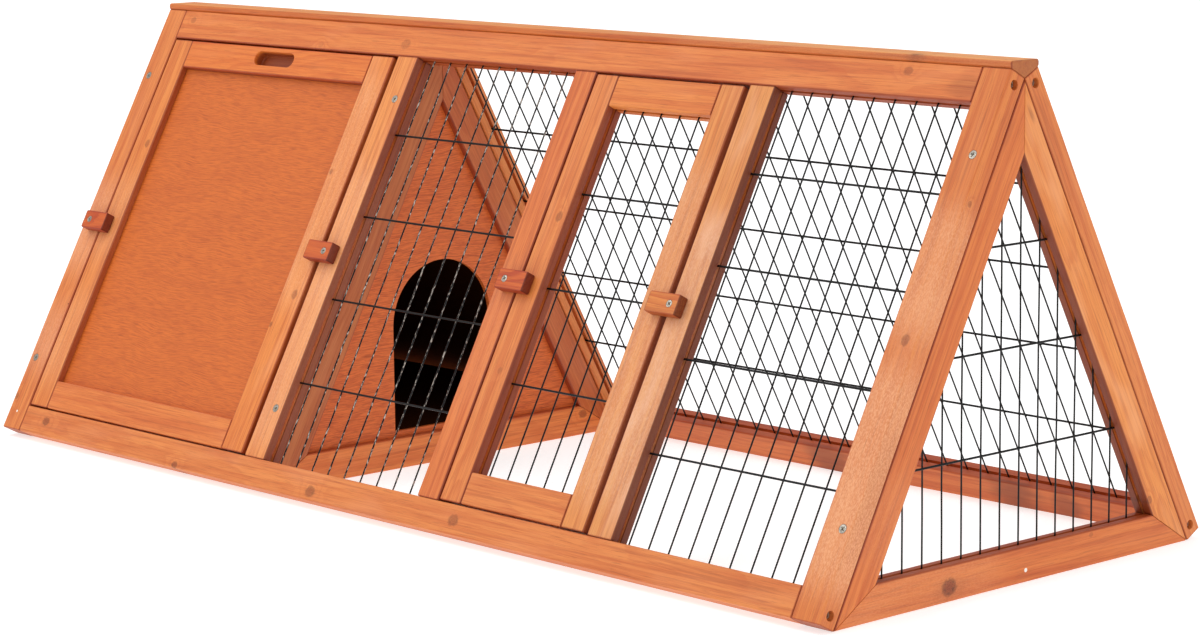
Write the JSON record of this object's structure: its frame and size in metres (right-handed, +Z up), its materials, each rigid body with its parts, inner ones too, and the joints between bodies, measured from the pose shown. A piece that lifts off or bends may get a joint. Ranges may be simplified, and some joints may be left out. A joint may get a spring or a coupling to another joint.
{
  "type": "outdoor rabbit run",
  "caption": "Triangular timber rabbit run with a plywood sleeping part, wire mesh sides, an arched inner doorway and tilt-out doors held by turn buttons.",
  "frame": {"origin": "on the ground under the middle of the run's length and width", "axes": "+X runs along the ridge towards the mesh end, the doors are in the sloping side that faces -Y, +Z is up"},
  "size_m": [1.22, 0.506, 0.4547],
  "materials": {
    "stained_fir": "orange-stained softwood, satin",
    "stained_plywood": "orange-stained rotary-cut plywood, satin",
    "stained_button": "darker orange-brown stained softwood, satin",
    "black_wire": "black coated welded wire",
    "zinc_screw": "bright zinc plate"
  },
  "bodies": {
    "root": {"front_stile_left_end": "stained_fir", "front_stile_at_partition": "stained_fir", "front_stile_mid_run": "stained_fir", "front_stile_by_run_door": "stained_fir", "front_stile_right_end": "stained_fir", "front_rail_top": "stained_fir", "front_rail_bottom": "stained_fir", "front_mesh_middle": "black_wire", "front_mesh_right": "black_wire", "back_stile_left_end": "stained_fir", "back_stile_at_partition": "stained_fir", "back_stile_right_end": "stained_fir", "back_rail_top": "stained_fir", "back_rail_bottom": "stained_fir", "back_plywood": "stained_plywood", "back_mesh": "black_wire", "right_end_leg_front": "stained_fir", "right_end_leg_back": "stained_fir", "right_end_rail": "stained_fir", "right_end_mesh": "black_wire", "left_end_leg_front": "stained_fir", "left_end_leg_back": "stained_fir", "left_end_rail": "stained_fir", "left_end_plywood": "stained_plywood", "partition_leg_front": "stained_fir", "partition_leg_back": "stained_fir", "partition_rail": "stained_fir", "partition_plywood": "stained_plywood", "ridge_cap": "stained_fir", "sleeping_floor": "stained_plywood", "pivot_screw_sleep_left": "zinc_screw", "pivot_screw_sleep_right": "zinc_screw", "pivot_screw_run_left": "zinc_screw", "pivot_screw_run_right": "zinc_screw", "face_screw_left_end_lower": "zinc_screw", "face_screw_left_end_upper": "zinc_screw", "face_screw_partition_lower": "zinc_screw", "face_screw_partition_upper": "zinc_screw", "face_screw_right_end_lower": "zinc_screw", "face_screw_right_end_upper": "zinc_screw", "corner_screw_front_bottom": "zinc_screw", "corner_screw_front_top": "zinc_screw", "corner_screw_back_bottom": "zinc_screw", "corner_screw_back_top": "zinc_screw"},
    "sleep_door": {"sleep_door_stile_left": "stained_fir", "sleep_door_stile_right": "stained_fir", "sleep_door_rail_bottom": "stained_fir", "sleep_door_rail_top": "stained_fir", "sleep_door_plywood": "stained_plywood"},
    "run_door": {"run_door_stile_left": "stained_fir", "run_door_stile_right": "stained_fir", "run_door_rail_bottom": "stained_fir", "run_door_rail_top": "stained_fir", "run_door_mesh": "black_wire"},
    "button_sleep_left": {"turn_button_sleep_left": "stained_button"},
    "button_sleep_right": {"turn_button_sleep_right": "stained_button"},
    "button_run_left": {"turn_button_run_left": "stained_button"},
    "button_run_right": {"turn_button_run_right": "stained_button"}
  },
  "joints": [
    {"name": "sleep_door_tilt", "type": "hinge", "parent": "root", "child": "sleep_door", "pos_m": [-0.3862, -0.2384, 0.0366], "axis": [1, 0, 0], "range_deg": [0, 120]},
    {"name": "run_door_tilt", "type": "hinge", "parent": "root", "child": "run_door", "pos_m": [0.2097, -0.2384, 0.0366], "axis": [1, 0, 0], "range_deg": [0, 120]},
    {"name": "button_sleep_left_turn", "type": "hinge", "parent": "root", "child": "button_sleep_left", "pos_m": [-0.5867, -0.14353, 0.22537], "axis": [0, -0.8813, 0.4726], "range_deg": [0, 90]},
    {"name": "button_sleep_right_turn", "type": "hinge", "parent": "root", "child": "button_sleep_right", "pos_m": [-0.1757, -0.14141, 0.22934], "axis": [0, -0.8813, 0.4726], "range_deg": [-90, 0]},
    {"name": "button_run_left_turn", "type": "hinge", "parent": "root", "child": "button_run_left", "pos_m": [0.1004, -0.14141, 0.22934], "axis": [0, -0.8813, 0.4726], "range_deg": [0, 90]},
    {"name": "button_run_right_turn", "type": "hinge", "parent": "root", "child": "button_run_right", "pos_m": [0.324, -0.14141, 0.22934], "axis": [0, -0.8813, 0.4726], "range_deg": [-90, 0]}
  ],
  "couplings": [
    {"joint": "button_sleep_left_turn", "follows": "sleep_door_tilt", "ratio": 0.75},
    {"joint": "button_sleep_right_turn", "follows": "sleep_door_tilt", "ratio": -0.75},
    {"joint": "button_run_left_turn", "follows": "run_door_tilt", "ratio": 0.75},
    {"joint": "button_run_right_turn", "follows": "run_door_tilt", "ratio": -0.75}
  ]
}
